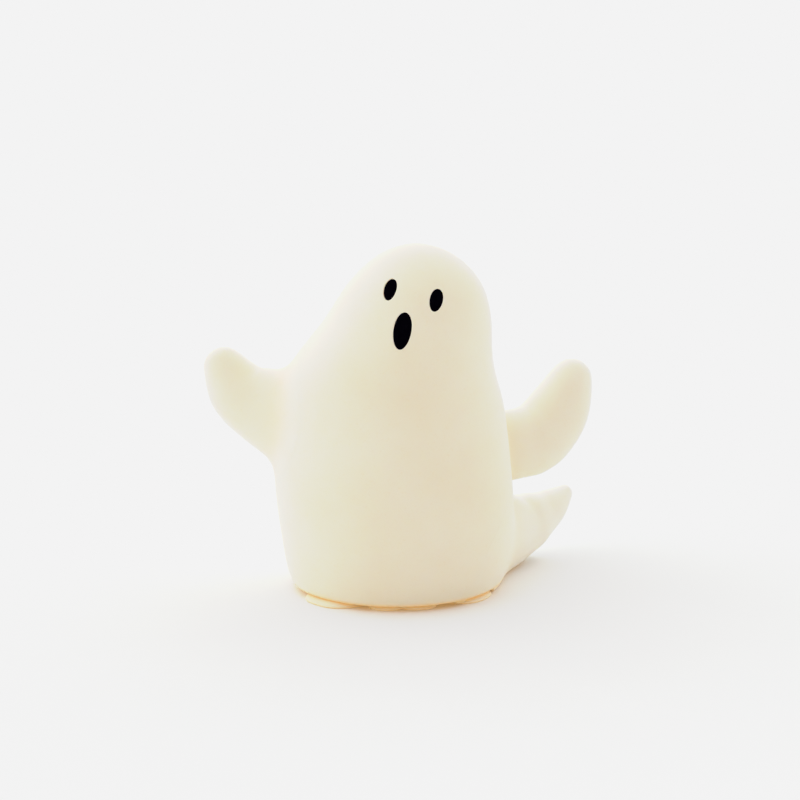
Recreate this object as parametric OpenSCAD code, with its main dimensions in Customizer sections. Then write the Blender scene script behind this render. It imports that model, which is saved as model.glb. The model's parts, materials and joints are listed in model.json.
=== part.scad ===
// Ghost ornament in matte cream ceramic. The hollow body is slip-cast and stands on a
// scalloped hem plate that closes it. The two arms and the tail are cast apart, hollow, and
// luted on at necks that pass through the body wall. The face is three black inlays in pockets.
// The face looks along -Y, and +Z is up. The origin is the middle of the hem plate's underside.

/* [Body] */
// Height of the whole figure above the table
figure_h = 148.5; // [135:0.5:170]
// Half-width of the body at the belly
belly_r = 50.6; // [47:0.2:56]
// Half-depth of the body at the belly
belly_d = 47.5; // [43:0.5:50]
// How far the crown leans to +X
lean = 8.9; // [6:0.1:12]
// Wall thickness of the slip-cast body
wall_t = 4.5; // [3.5:0.1:5]

/* [Hem plate] */
// Thickness of the hem plate
hem_t = 2.2; // [1.8:0.1:3]
// Radius of the hem plate at the tips of its widest scallops
hem_r = 45.5; // [43:0.1:47]
// Radius of the hem plate in the notches between its scallops
notch_r = 34.5; // [33.5:0.1:37]
// Height of the locating boss that centres the plate in the body
boss_h = 2; // [1.5:0.1:4]
// Radius of the body's open foot, which takes the boss
foot_r = 32; // [28:0.5:34]
// Radius of the vent hole
vent_r = 4; // [2.5:0.1:6]
// Distance of the vent hole behind the middle of the plate
vent_y = 16; // [10:0.5:20]

/* [Right arm] */
// Angle of the figure's right arm behind the side
right_arm_angle = 12; // [0:1:25]
// Height of the right shoulder
right_shoulder_h = 74; // [66:0.5:80]
// Distance from the figure's axis to the middle of the right hand
right_arm_reach = 74.2; // [68:0.2:84]
// Height of the right hand above its shoulder
right_arm_rise = 17.2; // [14:0.2:26]
// Radius of the right hand
right_hand_r = 10.2; // [8:0.1:11]
// Half-height of the right arm at its root
right_root_r = 19.5; // [17:0.1:22]

/* [Left arm] */
// Angle of the figure's left arm behind the side
left_arm_angle = 30; // [20:1:40]
// Height of the left shoulder
left_shoulder_h = 54.7; // [50:0.1:62]
// Distance from the figure's axis to the middle of the left hand
left_arm_reach = 89; // [84:0.2:98]
// Height of the left hand above its shoulder
left_arm_rise = 24.8; // [18:0.2:30]
// Radius of the left hand
left_hand_r = 10.7; // [8:0.1:11.5]
// Half-height of the left arm at its root
left_root_r = 15.8; // [14:0.1:17.5]

/* [Tail] */
// Angle of the tail behind the figure's left side
tail_angle = 37; // [30:1:50]
// Distance from the figure's axis to the middle of the tail's tip
tail_reach = 94.3; // [86:0.5:104]
// Height of the middle of the tail at its root
tail_root_h = 12.5; // [11:0.1:15]
// Height of the middle of the tail's tip above its root
tail_rise = 12.9; // [10:0.1:16]
// Half-height of the tail at its root
tail_root_r = 17.5; // [16:0.1:19]
// Radius of the tail's tip
tail_tip_r = 4.7; // [3.4:0.1:5.4]
// Gap between the tail's flat underside and the table
tail_lift = 0.3; // [0.1:0.1:1]

/* [Joints] */
// Thickness of the slip in every luted joint
slip_t = 0.1; // [0.05:0.01:0.2]
// Radius of the arm necks
arm_neck_r = 7; // [5.5:0.1:8]
// Radius of the tail neck
tail_neck_r = 7; // [6:0.1:8]
// Height of the tail neck
tail_neck_h = 15; // [13:0.5:18]
// How far a neck stands into the body past its wall
neck_in = 2.5; // [1:0.1:4]
// Wall thickness of the arms, the tail and their necks
limb_wall = 3.6; // [3:0.1:4]

/* [Face] */
// Width of each eye
eye_w = 5.6; // [4:0.1:8]
// Height of each eye
eye_h = 10.2; // [7:0.1:13]
// Width of the mouth
mouth_w = 7.4; // [5:0.1:11]
// Height of the mouth
mouth_h = 15.7; // [11:0.1:19]
// Distance of the right eye to the side of the crown
right_eye_side = 10.9; // [8:0.1:13]
// Distance of the middle of the right eye below the crown
right_eye_down = 14.7; // [12:0.1:18]
// Distance of the left eye to the side of the crown
left_eye_side = 8.3; // [6:0.1:11]
// Distance of the middle of the left eye below the crown
left_eye_down = 18.6; // [16:0.1:22]
// Distance of the mouth to the side of the crown
mouth_side = 5.8; // [3:0.1:8]
// Distance of the middle of the mouth below the crown
mouth_down = 30.3; // [27:0.1:34]
// Depth of the pockets that hold the black inlays
pocket_t = 1.6; // [1.3:0.1:2]
// Thickness of the black inlays
inlay_t = 1; // [0.7:0.1:1.2]
// Gap between an inlay and the side of its pocket
inlay_gap = 0.05; // [0.03:0.01:0.1]

/* [Hidden] */

// Every cut runs this far past the face that it opens
overrun = 1;
// Points round a body ring, round a limb ring and round the surfaces inside
body_sides = 48;
limb_sides = 28;
cavity_sides = 32;
core_sides = 20;
// Steps from one station to the next along the body, a limb and the surfaces inside
body_steps = 3;
limb_steps = 3;
core_steps = 2;
// Stations of the body that its cavity starts and its limbs' lowest cut start above
cavity_station = 3;
skirt_station = 3;
// A limb's core ends where its half-height falls to this many walls
core_least = 1.4;
// Angle to each side of a limb over which its seat is cut
seat_angle = 84;
// How square the scallops are: their outline falls off with this power of the angle
scallop_power = 3;
// Points of an oval and of the hem plate's outline
oval_sides = 40;
hem_sides = 120;
// Halvings that find a station by its height
halvings = 18;
// Step to each side over which the face's slope is measured
probe = 0.5;
// A limb's seat is cut this many times its greatest half-height up and down
seat_share = 1.6;
// How far the face's pieces lean to +X at the top, in degrees
right_eye_angle = -1;
left_eye_angle = 22.5;
mouth_angle = 7.3;
// Where the face's pieces stand, hung from the leaning crown: x and z
right_eye_spot = [lean - right_eye_side, figure_h - right_eye_down];
left_eye_spot = [lean + left_eye_side, figure_h - left_eye_down];
mouth_spot = [lean - mouth_side, figure_h - mouth_down];

// Body stations from the foot to the crown, as shares: height above the hem plate,
// half-width, half-depth and lean
body_shares = [
    [0.000, 0.850, 0.855, 0.06],
    [0.006, 0.882, 0.884, 0.06],
    [0.022, 0.900, 0.900, 0.06],
    [0.060, 0.932, 0.932, 0.06],
    [0.140, 0.970, 0.970, 0.06],
    [0.250, 1.000, 1.000, 0.00],
    [0.360, 0.990, 0.990, -0.09],
    [0.480, 0.950, 0.950, -0.08],
    [0.560, 0.911, 0.914, -0.10],
    [0.630, 0.859, 0.872, -0.12],
    [0.700, 0.790, 0.818, 0.13],
    [0.770, 0.708, 0.752, 0.56],
    [0.835, 0.632, 0.675, 0.82],
    [0.890, 0.545, 0.585, 0.95],
    [0.938, 0.425, 0.460, 1.00],
    [0.974, 0.280, 0.305, 1.00],
    [0.994, 0.135, 0.148, 1.00],
    [1.000, 0.000, 0.000, 1.00]
];
// Limb stations from inside the body to the hand or tip: reach from the belly's half-width,
// rise, half-height between the root's and the tip's, and thickness for each half-height
right_arm_shares = [
    [-1.00, -0.20, 1.50, 0.90],
    [-0.40, -0.11, 1.27, 0.88],
    [-0.05, -0.02, 1.04, 0.86],
    [0.21, 0.09, 0.83, 0.86],
    [0.49, 0.26, 0.60, 0.86],
    [0.76, 0.53, 0.39, 0.88],
    [1.00, 1.00, 0.00, 0.92]
];
left_arm_shares = [
    [-0.55, 0.02, 1.25, 0.88],
    [-0.09, 0.00, 1.06, 0.86],
    [0.30, 0.02, 0.94, 0.84],
    [0.52, 0.08, 1.04, 0.84],
    [0.70, 0.27, 0.92, 0.84],
    [0.86, 0.58, 0.69, 0.86],
    [1.00, 1.00, 0.00, 0.92]
];
tail_shares = [
    [-0.50, 0.31, 1.35, 0.95],
    [-0.05, 0.27, 1.27, 0.95],
    [0.23, 0.19, 1.00, 1.00],
    [0.43, 0.24, 0.69, 1.06],
    [0.57, 0.37, 0.59, 1.02],
    [0.72, 0.52, 0.40, 1.00],
    [0.87, 0.74, 0.23, 0.98],
    [1.00, 1.00, 0.00, 0.96]
];

// The hem plate's scallops, cut by hand: angle from the front to +X, reach between the
// notches' radius and the widest scallops', and half-width as an angle
scallop_shares = [
    [-47, 1.00, 24],
    [-6, 0.48, 13],
    [17, 0.48, 14],
    [60, 0.92, 22],
    [98, 0.60, 17],
    [132, 0.40, 16],
    [166, 0.75, 20],
    [206, 0.70, 21],
    [242, 0.90, 19],
    [276, 0.45, 16]
];

// Point between rows i and i + 1 of p, on a smooth curve through them, where after is the
// row that the curve would reach past the last one
function smooth_row(p, i, t, after) =
    let (
        a = i > 0 ? p[i - 1] : 2 * p[0] - p[1],
        b = p[i],
        c = p[i + 1],
        d = i + 2 < len(p) ? p[i + 2] : after
    )
    0.5 * (2 * b + (c - a) * t + (2 * a - 5 * b + 4 * c - d) * t * t
        + (3 * b - a - 3 * c + d) * t * t * t);

// The whole curve through p in equal steps, with the last row left out
function smooth_rows(p, steps, after) =
    [for (i = [0 : len(p) - 2], s = [0 : steps - 1]) smooth_row(p, i, s / steps, after)];

// The body's stations in real sizes: height, half-width, half-depth, lean
body_rows = [for (s = body_shares)
    [hem_t + s[0] * (figure_h - hem_t), s[1] * belly_r, s[2] * belly_d, s[3] * lean]];
crown_row = let (r = body_rows[len(body_rows) - 2]) [r[0], -r[1], -r[2], r[3]];

// The body's row at height z, found by halving between u0 and u1 along its curve
function row_along(u) =
    let (i = min(floor(u), len(body_rows) - 2)) smooth_row(body_rows, i, u - i, crown_row);
function row_at(z, u0 = 0, u1 = len(body_rows) - 1, n = halvings) =
    let (u = (u0 + u1) / 2, r = row_along(u))
    n == 0 ? r : r[0] < z ? row_at(z, u, u1, n - 1) : row_at(z, u0, u, n - 1);

// Where the body's front surface is at x and z, and which way it faces
function front_y(x, z) = let (r = row_at(z)) -r[2] * sqrt(max(0, 1 - pow((x - r[3]) / r[1], 2)));
function front_facing(x, z) =
    let (
        n = [
            (front_y(x + probe, z) - front_y(x - probe, z)) / (2 * probe),
            -1,
            (front_y(x, z + probe) - front_y(x, z - probe)) / (2 * probe)
        ]
    ) n / norm(n);

// Distance from the figure's axis to the body's surface at height z, along angle way
function skin_reach(way, z) =
    let (
        r = row_at(z),
        p = cos(way) / r[1],
        q = sin(way) / r[2],
        k = r[3] / r[1],
        a = p * p + q * q,
        b = -2 * p * k
    ) (-b + sqrt(b * b - 4 * a * (k * k - 1))) / (2 * a);

// One ring of the body, moved inward by inset square to its outline
function body_ring(row, slope, inset, sides) =
    let (
        turn = norm([slope[0], slope[1]]),
        out = slope[0] / turn,
        up = -slope[1] / turn
    )
    [for (k = [0 : sides - 1]) let (w = 360 * k / sides) [
        row[3] + (row[1] - inset * out) * cos(w),
        (row[2] - inset * out) * sin(w),
        row[0] - inset * up
    ]];

// Closed skin over rings, with a flat end at the first ring and a point at tip
module skin(rings, tip) {
    n = len(rings);
    m = len(rings[0]);
    spots = concat([for (r = rings) each r], [tip]);
    sides = [for (i = [0 : n - 2], k = [0 : m - 1]) let (j = (k + 1) % m)
        each [[i * m + k, (i + 1) * m + k, (i + 1) * m + j], [i * m + k, (i + 1) * m + j, i * m + j]]];
    cap = [for (k = [0 : m - 1]) [(n - 1) * m + k, n * m, (n - 1) * m + (k + 1) % m]];
    polyhedron(spots, concat([[for (k = [0 : m - 1]) k]], sides, cap), convexity = 6);
}

// The body as a solid, inset by a wall or grown by a joint's slip
module body_form(inset, sides, steps, from = 0) {
    rows = concat(smooth_rows(body_rows, steps, crown_row), [crown_row]);
    kept = [for (i = [from * steps : len(rows) - 2])
        body_ring(rows[i], rows[i + 1] - rows[max(i - 1, 0)], inset, sides)];
    skin(kept, [lean, 0, figure_h - inset]);
}

// The slice of the body, grown by the slip, that faces way between two heights, with
// a skirt down past the table. A limb is cut with it to the surface that it sits on
module seat_form(way, low, high) {
    rows = smooth_rows(body_rows, body_steps, crown_row);
    first = skirt_station * body_steps;
    foot = rows[first];
    slices = [for (i = [first : len(rows) - 2]) if (rows[i][0] > low && rows[i][0] < high)
        seat_slice(rows[i], rows[i + 1] - rows[i - 1], way)];
    skirt = low > foot[0] ? [] : [seat_slice([-overrun, foot[1], foot[2], foot[3]], [1, 0], way)];
    top = slices[len(slices) - 1];
    skin(concat(skirt, slices), (top[0] + top[round(len(top) / 2)]) / 2);
}

// The part of a body ring within the seat's angle of way, closed at the body's middle
function seat_slice(row, slope, way) =
    let (ring = body_ring(row, slope, -slip_t, body_sides))
    concat([[row[3], 0, row[0]]],
        [for (k = [-body_sides : 2 * body_sides - 1]) let (w = 360 * k / body_sides)
            if (w > way - seat_angle && w < way + seat_angle) ring[(k + body_sides) % body_sides]]);

// A limb's rows in real sizes: reach, height, half-height and thickness share
function limb_rows(shares, reach, height, rise, root, tip) = [for (s = shares)
    [belly_r + s[0] * (reach - belly_r), height + s[1] * rise, tip + s[2] * (root - tip), s[3]]];
right_arm_rows = limb_rows(right_arm_shares, right_arm_reach, right_shoulder_h,
    right_arm_rise, right_root_r, right_hand_r);
left_arm_rows = limb_rows(left_arm_shares, left_arm_reach, left_shoulder_h,
    left_arm_rise, left_root_r, left_hand_r);
tail_rows = limb_rows(tail_shares, tail_reach, tail_root_h, tail_rise, tail_root_r, tail_tip_r);

// One ring of a limb, square to its spine
function limb_ring(row, slope, sides) =
    let (run = slope[0] / norm([slope[0], slope[1]]), climb = slope[1] / norm([slope[0], slope[1]]))
    [for (k = [0 : sides - 1]) let (w = 360 * k / sides)
        [row[0] - row[2] * climb * cos(w), -row[2] * row[3] * sin(w), row[1] + row[2] * run * cos(w)]];

// A limb along +X, inset by a wall: rings along its spine, then a round end
module limb_form(rows, inset, sides, steps) {
    last = rows[len(rows) - 1];
    step = last - rows[len(rows) - 2];
    along = [step[0], step[1]] / norm([step[0], step[1]]);
    line = smooth_rows(rows, steps, last + step);
    round_r = last[2] - inset;
    shaft = [for (i = [0 : len(line) - 1])
        let (slope = (i + 1 < len(line) ? line[i + 1] : last) - line[max(i - 1, 0)])
        limb_ring(line[i] - [0, 0, inset, 0], slope, sides)];
    round_end = [for (w = [0 : 90 / (steps + 2) : 89])
        let (spot = [last[0], last[1]] + along * round_r * sin(w))
        limb_ring([spot[0], spot[1], round_r * cos(w), last[3]], along, sides)];
    skin(concat(shaft, round_end), [last[0] + along[0] * round_r, 0, last[1] + along[1] * round_r]);
}

// A neck's centre line at height z: from inside the body's wall out into the limb
module neck(way, z, radius, past) {
    reach = skin_reach(way, z);
    rotate([0, 0, way])
        translate([reach - wall_t - neck_in, 0, z])
            rotate([0, 90, 0])
                cylinder(r = radius, h = wall_t + neck_in + past, $fn = 48);
}

// A hollow limb: cast form, cut to its seat, with a neck and a core that vents through it
module limb(rows, way, z, neck_r) {
    root = seat_share * max([for (r = rows) r[2]]);
    difference() {
        union() {
            difference() {
                rotate([0, 0, way]) limb_form(rows, 0, limb_sides, limb_steps);
                seat_form(way, z - root, z + root);
            }
            neck(way, z, neck_r, limb_wall);
        }
        core(rows, way, z, neck_r);
    }
}

// The hollow of a limb, with the bore of its neck
module core(rows, way, z, neck_r) {
    start = skin_reach(way, z) + limb_wall;
    inner = start - limb_wall - wall_t - neck_in - overrun;
    kept = concat([[start, z, neck_r, 1]],
        [for (r = rows) if (r[0] > start + limb_wall && r[2] > core_least * limb_wall) r]);
    rotate([0, 0, way]) limb_form(kept, limb_wall, core_sides, core_steps);
    rotate([0, 0, way])
        translate([inner, 0, z])
            rotate([0, 90, 0])
                cylinder(r = neck_r - limb_wall, h = start - inner + overrun, $fn = 48);
}

// Points of an oval w wide and h high
function oval(w, h) = [for (k = [0 : oval_sides - 1])
    [w / 2 * cos(360 * k / oval_sides), h / 2 * sin(360 * k / oval_sides)]];

// Stands its children on the body's front at a spot, facing out, tilted to +X at the top
module on_face(spot, tilt) {
    n = front_facing(spot[0], spot[1]);
    translate([spot[0], front_y(spot[0], spot[1]), spot[1]])
        rotate([90 - asin(n[2]), 0, atan2(n[0], -n[1])])
            rotate([0, 0, -tilt])
                children();
}

module pocket(spot, w, h, tilt) {
    on_face(spot, tilt)
        translate([0, 0, -pocket_t])
            linear_extrude(pocket_t + overrun) polygon(oval(w, h));
}

module inlay(spot, w, h, tilt) {
    color("#0c0b0d")
        on_face(spot, tilt)
            translate([0, 0, -pocket_t])
                linear_extrude(inlay_t) polygon(oval(w - 2 * inlay_gap, h - 2 * inlay_gap));
}

module right_eye() {
    inlay(right_eye_spot, eye_w, eye_h, right_eye_angle);
}

module left_eye() {
    inlay(left_eye_spot, eye_w, eye_h, left_eye_angle);
}

module mouth() {
    inlay(mouth_spot, mouth_w, mouth_h, mouth_angle);
}

// The body, open at the foot, with a hole for each neck and a pocket for each inlay
module body_shell() {
    color("#e6ddc6")
        difference() {
            body_form(0, body_sides, body_steps);
            body_form(wall_t, cavity_sides, core_steps, cavity_station);
            translate([0, 0, hem_t - overrun])
                cylinder(r = foot_r, h = body_rows[cavity_station][0] + wall_t, $fn = 96);
            neck(180 - right_arm_angle, right_shoulder_h, arm_neck_r + slip_t, wall_t);
            neck(left_arm_angle, left_shoulder_h, arm_neck_r + slip_t, wall_t);
            neck(tail_angle, tail_neck_h, tail_neck_r + slip_t, wall_t);
            pocket(right_eye_spot, eye_w, eye_h, right_eye_angle);
            pocket(left_eye_spot, eye_w, eye_h, left_eye_angle);
            pocket(mouth_spot, mouth_w, mouth_h, mouth_angle);
        }
}

// Angle between two ways round the plate, either way round
function off_way(w, way) = abs((w - way + 540) % 360 - 180);

// Radius of the hem plate's outline at angle w from the front to +X
function hem_reach(w) = notch_r + (hem_r - notch_r)
    * max([for (s = scallop_shares) s[1] * max(0, 1 - pow(off_way(w, s[0]) / s[2], scallop_power))]);

// The hem plate's outline, grown by a joint's slip where a piece is cut to pass it
module hem_form(grow) {
    polygon([for (k = [0 : hem_sides - 1]) let (w = 360 * k / hem_sides)
        (hem_reach(w) + grow) * [sin(w), -cos(w)]]);
}

module hem_plate() {
    color("#e6ddc6")
        difference() {
            union() {
                linear_extrude(hem_t) hem_form(0);
                cylinder(r = foot_r - slip_t, h = hem_t + boss_h, $fn = 96);
            }
            translate([0, vent_y, -overrun])
                cylinder(r = vent_r, h = hem_t + boss_h + 2 * overrun, $fn = 48);
        }
}

module right_arm() {
    color("#e6ddc6")
        limb(right_arm_rows, 180 - right_arm_angle, right_shoulder_h, arm_neck_r);
}

module left_arm() {
    color("#e6ddc6")
        limb(left_arm_rows, left_arm_angle, left_shoulder_h, arm_neck_r);
}

// The tail, cut flat just above the table and cut out round the hem plate
module tail() {
    color("#e6ddc6")
        difference() {
            limb(tail_rows, tail_angle, tail_neck_h, tail_neck_r);
            translate([0, 0, hem_t + slip_t - 2 * tail_root_r])
                linear_extrude(2 * tail_root_r) hem_form(slip_t);
            translate([0, 0, tail_lift - tail_root_r])
                linear_extrude(tail_root_r) square(3 * tail_reach, center = true);
        }
}

body_shell();
hem_plate();
right_arm();
left_arm();
tail();
right_eye();
left_eye();
mouth();
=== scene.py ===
import json
import math

import bmesh
import bpy
import numpy as np
from bpy.props import FloatProperty, FloatVectorProperty, PointerProperty
from bpy.types import Operator, Panel, PropertyGroup
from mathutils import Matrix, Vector
from mathutils.geometry import delaunay_2d_cdt


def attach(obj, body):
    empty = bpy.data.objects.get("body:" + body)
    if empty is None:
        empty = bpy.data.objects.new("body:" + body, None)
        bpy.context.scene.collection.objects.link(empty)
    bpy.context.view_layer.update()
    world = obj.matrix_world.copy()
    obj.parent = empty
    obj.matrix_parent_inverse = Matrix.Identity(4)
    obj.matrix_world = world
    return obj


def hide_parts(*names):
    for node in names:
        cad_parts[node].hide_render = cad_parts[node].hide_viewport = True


bl_info = {
    "name": "Ceramic Ghost Ornament",
    "version": (1, 0, 0),
    "blender": (4, 5, 0),
    "location": "View3D > Sidebar > Ornament",
    "description": "Builds a ceramic ghost ornament piece by piece over its solid model",
    "category": "Add Mesh",
}

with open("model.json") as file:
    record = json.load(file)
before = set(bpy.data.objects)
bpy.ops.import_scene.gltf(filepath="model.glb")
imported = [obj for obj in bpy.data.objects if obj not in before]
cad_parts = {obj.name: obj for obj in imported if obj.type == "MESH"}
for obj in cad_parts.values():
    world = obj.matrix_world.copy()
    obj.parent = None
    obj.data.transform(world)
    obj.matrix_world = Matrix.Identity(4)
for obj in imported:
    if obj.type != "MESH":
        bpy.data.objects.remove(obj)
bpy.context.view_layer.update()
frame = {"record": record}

MM = 0.001

# Body stations from the foot to the crown, as shares of the body's sizes:
# height above the hem plate, half-width, half-depth and lean
BODY_SHARES = (
    (0.000, 0.850, 0.855, 0.06),
    (0.006, 0.882, 0.884, 0.06),
    (0.022, 0.900, 0.900, 0.06),
    (0.060, 0.932, 0.932, 0.06),
    (0.140, 0.970, 0.970, 0.06),
    (0.250, 1.000, 1.000, 0.00),
    (0.360, 0.990, 0.990, -0.09),
    (0.480, 0.950, 0.950, -0.08),
    (0.560, 0.911, 0.914, -0.10),
    (0.630, 0.859, 0.872, -0.12),
    (0.700, 0.790, 0.818, 0.13),
    (0.770, 0.708, 0.752, 0.56),
    (0.835, 0.632, 0.675, 0.82),
    (0.890, 0.545, 0.585, 0.95),
    (0.938, 0.425, 0.460, 1.00),
    (0.974, 0.280, 0.305, 1.00),
    (0.994, 0.135, 0.148, 1.00),
    (1.000, 0.000, 0.000, 1.00),
)
# Limb stations from inside the body to the hand or tip: reach from the belly's half-width,
# rise, half-height between the root's and the tip's, and thickness for each half-height
RIGHT_ARM_SHARES = (
    (-1.00, -0.20, 1.50, 0.90),
    (-0.40, -0.11, 1.27, 0.88),
    (-0.05, -0.02, 1.04, 0.86),
    (0.21, 0.09, 0.83, 0.86),
    (0.49, 0.26, 0.60, 0.86),
    (0.76, 0.53, 0.39, 0.88),
    (1.00, 1.00, 0.00, 0.92),
)
LEFT_ARM_SHARES = (
    (-0.55, 0.02, 1.25, 0.88),
    (-0.09, 0.00, 1.06, 0.86),
    (0.30, 0.02, 0.94, 0.84),
    (0.52, 0.08, 1.04, 0.84),
    (0.70, 0.27, 0.92, 0.84),
    (0.86, 0.58, 0.69, 0.86),
    (1.00, 1.00, 0.00, 0.92),
)
# The tail's root is level on top, because a wide fillet joins it to the body
TAIL_SHARES = (
    (-0.50, 0.08, 0.89, 1.25),
    (-0.05, 0.09, 0.88, 1.22),
    (0.23, 0.16, 0.86, 1.09),
    (0.43, 0.24, 0.69, 1.06),
    (0.57, 0.37, 0.59, 1.02),
    (0.72, 0.52, 0.40, 1.00),
    (0.87, 0.74, 0.23, 0.98),
    (1.00, 1.00, 0.00, 0.96),
)
# Scallops of the hem plate: angle from the front to +X in degrees, reach between the
# notches' radius and the widest scallops', and half-width in degrees
SCALLOP_SHARES = (
    (-47, 1.00, 24),
    (-6, 0.48, 13),
    (17, 0.48, 14),
    (60, 0.92, 22),
    (98, 0.60, 17),
    (132, 0.40, 16),
    (166, 0.75, 20),
    (206, 0.70, 21),
    (242, 0.90, 19),
    (276, 0.45, 16),
)

# Tones of the picture: light in the scene, and how bright it shows
TONES = (
    (0.50, 0.490),
    (0.70, 0.680),
    (0.80, 0.757),
    (0.976, 0.815),
    (1.08, 0.850),
    (1.20, 0.896),
    (2.00, 0.896),
)

# How finely the smooth forms are laid out
FINE_STEPS = 3000
BODY_SIDES = 180
OVAL_SIDES = 72
HEM_SIDES = 240
BODY_SPACING = 1.4 * MM
INNER_SPACING = 5 * MM
NET_SPACING = 1.1 * MM
SPINE_SPACING = 0.1 * MM
# How many rounds each search takes: onto a net's surface, onto the skin at the face, from
# in front onto the body, and along a limb's spine
NET_ROUNDS = 2
FACE_ROUNDS = 8
FRONT_ROUNDS = 40
SPINE_ROUNDS = 6
# The net's grid is first measured once a block, and then at every point whose block lies
# within this many steps of the surface
NET_BLOCK = 4
NET_REACH = 6
# How deep a point that is added to the inside counts, in steps of the grid
ADDED_DEPTH = 0.1
# How many walls thick the body's foot is inside, how many walls its cavity keeps off the
# crown, and at how many walls below the crown the cavity closes
OPENING_WALLS = 3
CAVITY_WALLS = 2
CAVITY_CEILING = 1.5
# Step over which slopes are measured, and the furthest that one round of a search may move
PROBE = 0.01 * MM
STRIDE = 2 * MM
# The body's outline is carried on below its foot by this much down and inward
FOOT_DROP = 30 * MM
FOOT_TUCK = 12 * MM
# Limbs are faired onto the body as if it had no rounded foot below this height
FOOT_HEIGHT = 9 * MM
# Distance over which a limb's underside rises to pass over the hem plate
PLATE_RAMP = 1.5 * MM


def length(name, description, mm):
    """A length that is given in millimetres and kept in metres."""
    return FloatProperty(
        name=name, description=description, default=mm * MM, precision=5, unit="LENGTH"
    )


def angle(name, description, degrees):
    """An angle that is given in degrees and kept in radians."""
    return FloatProperty(
        name=name, description=description, default=math.radians(degrees), subtype="ANGLE"
    )


def share(name, description, value):
    """A number from 0 to 1."""
    return FloatProperty(
        name=name, description=description, default=value, min=0, max=1, subtype="FACTOR"
    )


def number(name, description, value):
    """A plain number."""
    return FloatProperty(name=name, description=description, default=value)


def colour(name, description, value):
    """A colour in scene linear light."""
    return FloatVectorProperty(
        name=name, description=description, default=value, min=0, max=1, subtype="COLOR"
    )


class OrnamentSizes(PropertyGroup):
    """Sizes of the ornament, which follow its solid model."""

    height: length("Height", "Height of the whole figure above the table", 148.5)
    belly_width: length("Belly Half-Width", "Half-width of the body at the belly", 50.6)
    belly_depth: length("Belly Half-Depth", "Half-depth of the body at the belly", 47.5)
    lean: length("Lean", "How far the crown leans to +X", 8.9)
    wall: length("Wall", "Thickness of the body's wall", 4.5)
    hem_thickness: length("Hem Thickness", "Thickness of the hem plate", 2.2)
    hem_radius: length("Hem Radius", "Radius at the tips of the widest scallops", 45.5)
    notch_radius: length("Notch Radius", "Radius in the notches between the scallops", 34.5)
    hem_lip: length("Hem Lip", "Width over which the hem plate thins toward its edge", 5)
    boss_height: length("Boss Height", "Height of the boss that centres the hem plate", 2)
    foot_radius: length("Foot Radius", "Radius of the body's open foot", 32)
    slip: length("Slip", "Thickness of the slip in a luted joint", 0.1)
    vent_radius: length("Vent Radius", "Radius of the vent hole", 4)
    vent_offset: length("Vent Offset", "How far the vent hole stands behind the middle", 16)
    right_arm_angle: angle("Right Arm Angle", "Direction of the right arm from +X", 168)
    right_arm_height: length("Right Shoulder", "Height of the right shoulder", 74)
    right_arm_reach: length("Right Reach", "Distance from the axis to the right hand", 74.2)
    right_arm_rise: length("Right Rise", "Height of the right hand above its shoulder", 17.2)
    right_arm_tip: length("Right Hand", "Radius of the right hand", 10.2)
    right_arm_root: length("Right Root", "Half-height of the right arm at its root", 19.5)
    right_arm_fillet: length("Right Fillet", "Reach of the fillet round the right arm", 13)
    left_arm_angle: angle("Left Arm Angle", "Direction of the left arm from +X", 30)
    left_arm_height: length("Left Shoulder", "Height of the left shoulder", 54.7)
    left_arm_reach: length("Left Reach", "Distance from the axis to the left hand", 89)
    left_arm_rise: length("Left Rise", "Height of the left hand above its shoulder", 24.8)
    left_arm_tip: length("Left Hand", "Radius of the left hand", 10.7)
    left_arm_root: length("Left Root", "Half-height of the left arm at its root", 15.8)
    left_arm_fillet: length("Left Fillet", "Reach of the fillet round the left arm", 7)
    tail_angle: angle("Tail Angle", "Direction of the tail from +X", 37)
    tail_height: length("Tail Height", "Height of the middle of the tail at its root", 12.5)
    tail_reach: length("Tail Reach", "Distance from the axis to the tail's tip", 94.3)
    tail_rise: length("Tail Rise", "Height of the tail's tip above its root", 12.9)
    tail_tip: length("Tail Tip", "Radius of the tail's tip", 4.7)
    tail_root: length("Tail Root", "Half-height of the tail at its root", 17.5)
    tail_fillet: length("Tail Fillet", "Reach of the fillet round the tail", 30)
    tongue: length("Tongue", "How deep a limb's hidden end lies in the body's wall", 2)
    tail_lift: length("Tail Lift", "Gap between the tail's underside and the table", 0.3)
    tail_edge: length("Tail Edge", "Softness of the tail's lower edge", 1.5)


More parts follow.
